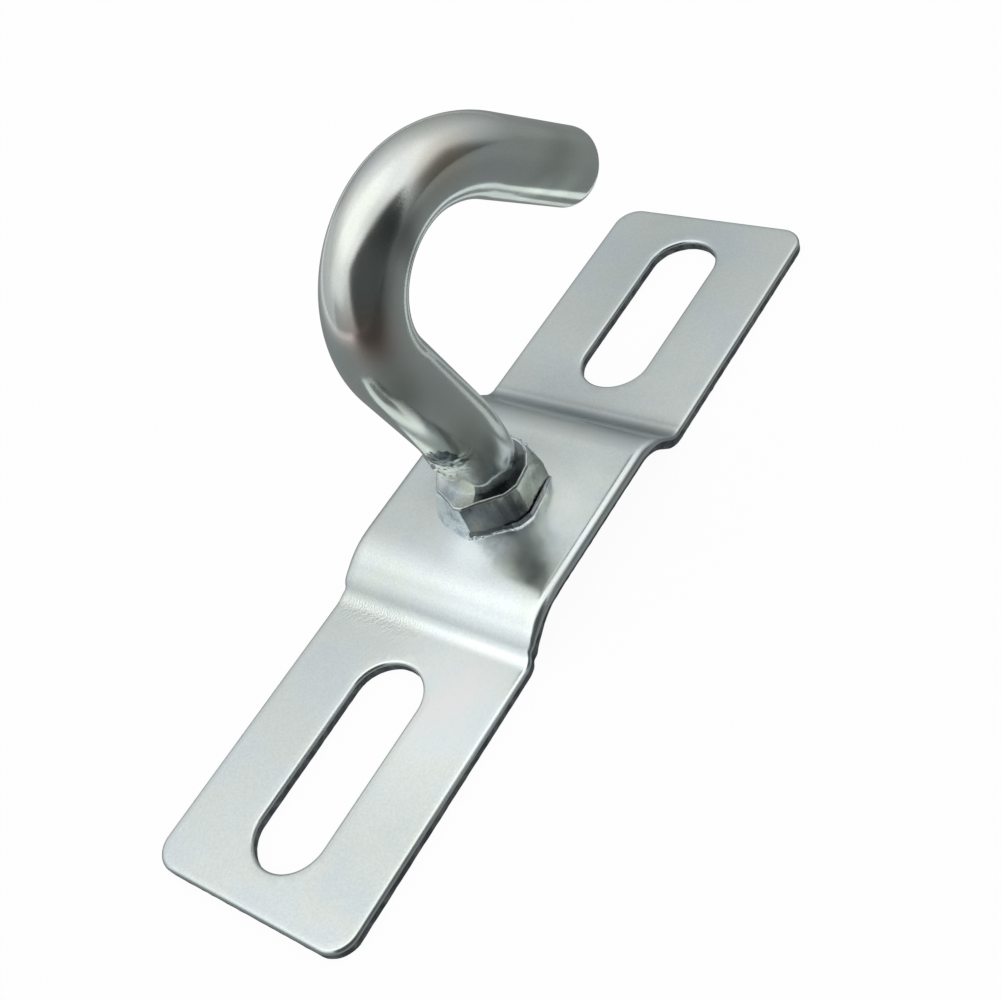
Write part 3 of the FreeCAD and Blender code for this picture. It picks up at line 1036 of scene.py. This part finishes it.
# The camera, solved from the photograph: its focal length in pixels of a picture of that width, the
# turn from the part's axes to its own as an axis times an angle, and the part's origin before it in mm
FOCAL_PIXELS = 1447.828
PICTURE_PIXELS = 1001.0
SENSOR = 36.0
CAMERA_TURN = Vector((1.992139, -1.253808, 0.088357))
CAMERA_SHIFT = Vector((1.479882, 3.266736, 192.623552))


def empty_tree(owner):
    """The shader tree of a world or a material, with nothing in it."""
    owner.use_nodes = True
    owner.node_tree.nodes.clear()
    return owner.node_tree


def coloured(tree, kind, colour, **values):
    """A shader with that colour."""
    made = node_of(tree, kind)
    made.inputs["Color"].default_value = (*colour, 1.0)
    for key, value in values.items():
        made.inputs[key].default_value = value
    return made.outputs[0]


def show_mix(tree, out_kind, share, first, second):
    """Sends the first shader to the output, or the second as far as the share says."""
    mix = node_of(tree, "ShaderNodeMixShader")
    tree.links.new(share, mix.inputs["Fac"])
    tree.links.new(first, mix.inputs[1])
    tree.links.new(second, mix.inputs[2])
    tree.links.new(mix.outputs[0], node_of(tree, out_kind).inputs["Surface"])


def is_seen(tree):
    """1 for the rays in SEEN, otherwise 0."""
    path = node_of(tree, "ShaderNodeLightPath")
    total = path.outputs[SEEN[0]]
    for kind in SEEN[1:]:
        most = node_of(tree, "ShaderNodeMath", operation="MAXIMUM")
        tree.links.new(total, most.inputs[0])
        tree.links.new(path.outputs[kind], most.inputs[1])
        total = most.outputs[0]
    return total


def build_world():
    """White to the eye and in reflections, and a plain pale light on the part."""
    world = bpy.data.worlds.new("studio")
    bpy.context.scene.world = world
    tree = empty_tree(world)
    plain = coloured(tree, "ShaderNodeBackground", (0.80, 0.82, 0.84), Strength=0.8)
    white = coloured(tree, "ShaderNodeBackground", WHITE, Strength=1.0)
    show_mix(tree, "ShaderNodeOutputWorld", is_seen(tree), plain, white)


def square(name, half, z):
    """A flat square with that half side at that height."""
    mesh = bpy.data.meshes.new(name)
    corners = [(-half, -half, z), (half, -half, z), (half, half, z), (-half, half, z)]
    mesh.from_pydata(corners, [], [(0, 1, 2, 3)])
    return new_object(name, mesh)


def build_floor():
    """A floor that looks white and takes the part's faint shadow."""
    floor = square("floor", FLOOR_HALF, FLOOR_Z)
    material = bpy.data.materials.new("floor_pale")
    tree = empty_tree(material)
    pale = coloured(tree, "ShaderNodeBsdfDiffuse", (0.85, 0.85, 0.85))
    white = coloured(tree, "ShaderNodeEmission", WHITE, Strength=1.0)
    share = node_of(tree, "ShaderNodeMath", operation="MULTIPLY")
    share.inputs[1].default_value = FLOOR_WHITE
    tree.links.new(is_seen(tree), share.inputs[0])
    show_mix(tree, "ShaderNodeOutputMaterial", share.outputs[0], pale, white)
    floor.data.materials.append(material)


def direction(azimuth, elevation):
    """A unit vector from two angles in degrees."""
    a, e = math.radians(azimuth), math.radians(elevation)
    return Vector((math.cos(a) * math.cos(e), math.sin(a) * math.cos(e), math.sin(e)))


def reflected_only(made):
    """Makes a stage piece that only reflections see."""
    made.visible_camera = False
    made.visible_diffuse = False
    made.visible_transmission = False
    made.visible_shadow = False
    made.visible_volume_scatter = False


def card_material(name, colour, most, fades):
    """A glow in that colour that fades out along the card's own axes.

    Each of fades is an axis, where along it the glow is full, where it is gone, and whether that holds
    both ways from the middle, softly, or only upwards, evenly.
    """
    material = bpy.data.materials.new(name)
    tree = empty_tree(material)
    split = node_of(tree, "ShaderNodeSeparateXYZ")
    tree.links.new(node_of(tree, "ShaderNodeTexCoord").outputs["Object"], split.inputs[0])
    total = None
    for axis, full, none, both_ways in fades:
        source = split.outputs[axis]
        if both_ways:
            size = node_of(tree, "ShaderNodeMath", operation="ABSOLUTE")
            tree.links.new(source, size.inputs[0])
            source = size.outputs[0]
        kind = "SMOOTHSTEP" if both_ways else "LINEAR"
        fade = node_of(tree, "ShaderNodeMapRange", interpolation_type=kind)
        fade.inputs["From Min"].default_value = full
        fade.inputs["From Max"].default_value = none
        fade.inputs["To Min"].default_value = most if total is None else 1.0
        fade.inputs["To Max"].default_value = 0.0
        tree.links.new(source, fade.inputs["Value"])
        shown = fade.outputs["Result"]
        total = shown if total is None else product(tree, total, shown)
    clear = node_of(tree, "ShaderNodeBsdfTransparent").outputs[0]
    glow = coloured(tree, "ShaderNodeEmission", colour)
    show_mix(tree, "ShaderNodeOutputMaterial", total, clear, glow)
    return material


def glow_card(name, matrix, colour, most, soft):
    """A flat card that only reflections see; its sides fade out over the soft share."""
    made = square(name, 1.0, 0.0)
    made.matrix_world = matrix
    fades = [(axis, 1.0 - soft, 1.0, True) for axis in "XY"]
    made.data.materials.append(card_material(name, colour, most, fades))
    reflected_only(made)


def card(name, azimuth, elevation, width, height, colour, most, soft, distance):
    """A studio card that faces the part."""
    away = direction(azimuth, elevation)
    half_w = math.tan(math.radians(width)) * distance
    half_h = math.tan(math.radians(height)) * distance
    matrix = (Matrix.Translation(HEART + away * distance) @ away.to_track_quat("Z", "Y").to_matrix().to_4x4()
              @ Matrix.Diagonal((half_w, half_h, 1.0, 1.0)))
    glow_card(name, matrix, colour, most, soft)


def floor_sheet(name, centre, half, soft, most, colour, height):
    """A sheet on the floor under the part."""
    matrix = Matrix.Translation((*centre, height)) @ Matrix.Diagonal((*half, 1.0, 1.0))
    glow_card(name, matrix, colour, most, soft)


def low_wall():
    """A grey wall round the set that fades out upwards."""
    points, faces = [], []
    for step in range(WALL_SIDES):
        angle = 2 * math.pi * step / WALL_SIDES
        points += [(math.cos(angle), math.sin(angle), 0.0), (math.cos(angle), math.sin(angle), 1.0)]
        after = (step + 1) % WALL_SIDES
        faces.append((2 * step, 2 * after, 2 * after + 1, 2 * step + 1))
    mesh = bpy.data.meshes.new("low_wall")
    mesh.from_pydata(points, [], faces)
    made = new_object("low_wall", mesh)
    made.scale = (WALL_R, WALL_R, WALL_HEIGHT)
    mesh.materials.append(card_material("low_wall", (0.258, 0.275, 0.275), 1.0, [("Z", 0.0, 1.0, False)]))
    reflected_only(made)


def lamp(name, azimuth, elevation, size, glow, distance):
    """A round soft lamp that faces the part; glow is how bright its face looks, where white is 1."""
    data = bpy.data.lights.new(name, "AREA")
    data.shape = "DISK"
    data.size = size
    data.energy = glow * math.pi * math.pi * (size / 2) ** 2
    made = new_object(name, data)
    away = direction(azimuth, elevation)
    made.location = HEART + away * distance
    made.rotation_mode = "QUATERNION"
    made.rotation_quaternion = away.to_track_quat("Z", "Y")
    made.visible_camera = False
    made.visible_glossy = False


def build_camera():
    """The photograph's view."""
    data = bpy.data.cameras.new("camera")
    data.sensor_fit = "HORIZONTAL"
    data.sensor_width = SENSOR
    data.lens = FOCAL_PIXELS * SENSOR / PICTURE_PIXELS
    data.clip_start = 0.005
    data.clip_end = 20.0
    camera = new_object("camera", data)
    back = Matrix.Rotation(CAMERA_TURN.length, 3, CAMERA_TURN.normalized()).transposed()
    rotation = back @ Matrix(((1, 0, 0), (0, -1, 0), (0, 0, -1)))
    camera.matrix_world = Matrix.Translation(-(back @ (CAMERA_SHIFT * MM))) @ rotation.to_4x4()
    bpy.context.scene.camera = camera


build_world()
build_floor()
low_wall()
for sheet in SHEETS:
    floor_sheet(*sheet)
for row in CARDS:
    card(*row)
lamp("overhead", azimuth=120, elevation=75, size=0.9, glow=1.0, distance=0.7)
build_camera()
bpy.context.scene.view_settings.view_transform = "Standard"
